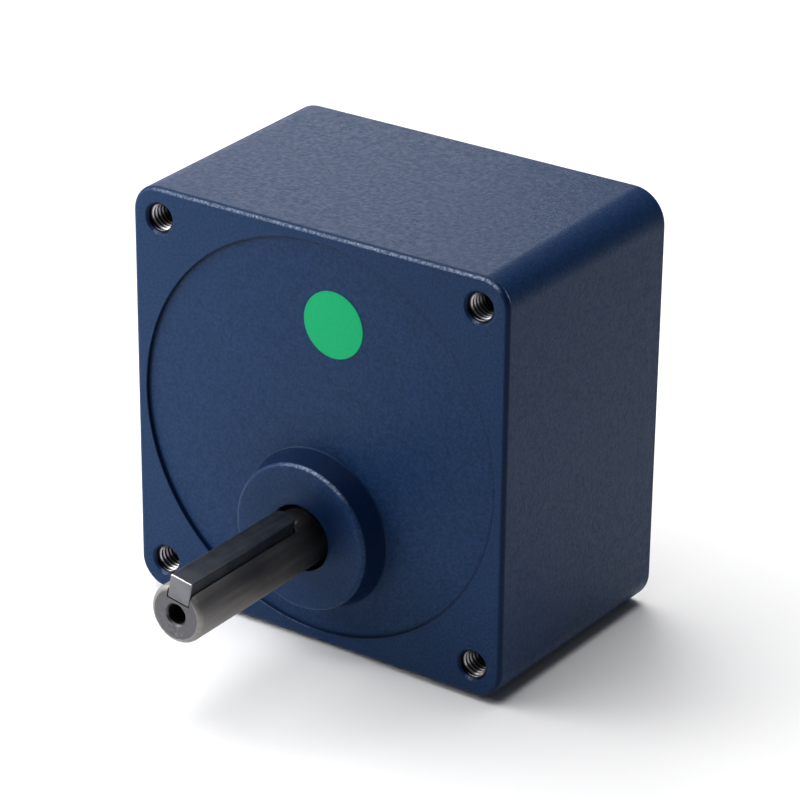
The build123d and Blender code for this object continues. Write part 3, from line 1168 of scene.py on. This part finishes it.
carried = {
    "rear_plate": (iron, "machined_iron"),
    "oil_seal": (rubber, "seal_rubber"),
    "front_bearing_outer_ring": (bearing_steel, "bearing_steel"),
    "front_bearing_inner_ring": (bearing_steel, "bearing_steel"),
    "first_front_bush": (bronze, "bush_bronze"),
    "second_front_bush": (bronze, "bush_bronze"),
    "first_rear_bush": (bronze, "bush_bronze"),
    "second_rear_bush": (bronze, "bush_bronze"),
    "output_rear_bush": (bronze, "bush_bronze"),
    "output_wheel": (gear_steel, "gear_steel"),
    "output_wheel_key": (oxide, "key_steel"),
    "second_pinion_shaft": (gear_steel, "gear_steel"),
    "second_wheel": (gear_steel, "gear_steel"),
    "first_pinion_shaft": (gear_steel, "gear_steel"),
    "first_wheel": (gear_steel, "gear_steel"),
}
for name, (material, slot) in carried.items():
    node = frame["nodes"][name]
    node.material_slots[0].material = material

# Floor, lights and camera


def make_floor():
    """Plain pale floor under the case."""
    mesh = bpy.data.meshes.new("floor")
    reach = 3.0
    height = case_low.z
    corners = ((-reach, -reach), (reach, -reach), (reach, reach), (-reach, reach))
    mesh.from_pydata([(x, y, height) for x, y in corners], [], [(0, 1, 2, 3)])
    floor = bpy.data.objects.new("floor", mesh)
    bpy.context.scene.collection.objects.link(floor)
    mesh.materials.append(shader_of("pale_floor", (0.93, 0.93, 0.935), 0.85)[0])


def soft_light(name, place, aim, width, height, watts):
    """Soft light panel at a place, turned to a point."""
    light = bpy.data.lights.new(name, "AREA")
    light.shape = "RECTANGLE"
    light.size = width
    light.size_y = height
    light.energy = watts
    lamp = bpy.data.objects.new(name, light)
    lamp.location = place
    lamp.rotation_euler = (Vector(aim) - Vector(place)).to_track_quat("-Z", "Y").to_euler()
    lamp.visible_camera = False
    bpy.context.scene.collection.objects.link(lamp)


def make_world():
    """Even pale surroundings."""
    world = bpy.data.worlds.new("surroundings")
    world.use_nodes = True
    background = world.node_tree.nodes["Background"]
    background.inputs["Color"].default_value = (1.0, 1.0, 1.0, 1.0)
    background.inputs["Strength"].default_value = 0.065
    bpy.context.scene.world = world


def make_camera():
    """Camera at the photograph's place, with the lens that its perspective gives."""
    azimuth, elevation, roll = 0.6041, 0.4338, 0.0101
    right_shift, up_shift, distance = 0.0165718, 0.0079344, 0.6653005
    focal_pixels, image_pixels, sensor = 3429.78, 800.0, 36.0
    back = Vector(
        (
            math.sin(azimuth) * math.cos(elevation),
            -math.cos(azimuth) * math.cos(elevation),
            math.sin(elevation),
        )
    )
    right = Vector((math.cos(azimuth), math.sin(azimuth), 0.0))
    up = back.cross(right)
    rolled_right = math.cos(roll) * right + math.sin(roll) * up
    rolled_up = -math.sin(roll) * right + math.cos(roll) * up
    place = rolled_right * right_shift + rolled_up * up_shift + back * distance
    camera = bpy.data.cameras.new("camera")
    camera.sensor_width = sensor
    camera.lens = focal_pixels / image_pixels * sensor
    camera.clip_start = 0.01
    camera.clip_end = 20.0
    viewer = bpy.data.objects.new("camera", camera)
    turn = Matrix((rolled_right, rolled_up, back)).transposed()
    viewer.matrix_world = Matrix.Translation(place) @ turn.to_4x4()
    bpy.context.scene.collection.objects.link(viewer)
    bpy.context.scene.camera = viewer


make_floor()
make_world()
soft_light(
    "overhead_light", (-0.25, 0.10, 1.10), (0.0, 0.03, 0.0), width=1.3, height=1.3, watts=19.5
)
soft_light(
    "rear_light", (-0.42, 0.45, 0.27), (0.0, 0.03, 0.03), width=0.38, height=0.38, watts=1.04
)
soft_light(
    "front_light", (-0.27, -0.40, 0.32), (-0.01, 0.0, 0.0), width=0.28, height=0.16, watts=0.36
)
soft_light(
    "left_light", (-0.17, -0.10, 0.08), (-0.03, -0.01, -0.02), width=0.12, height=0.12, watts=0.36
)
make_camera()
bpy.context.scene.view_settings.view_transform = "Standard"
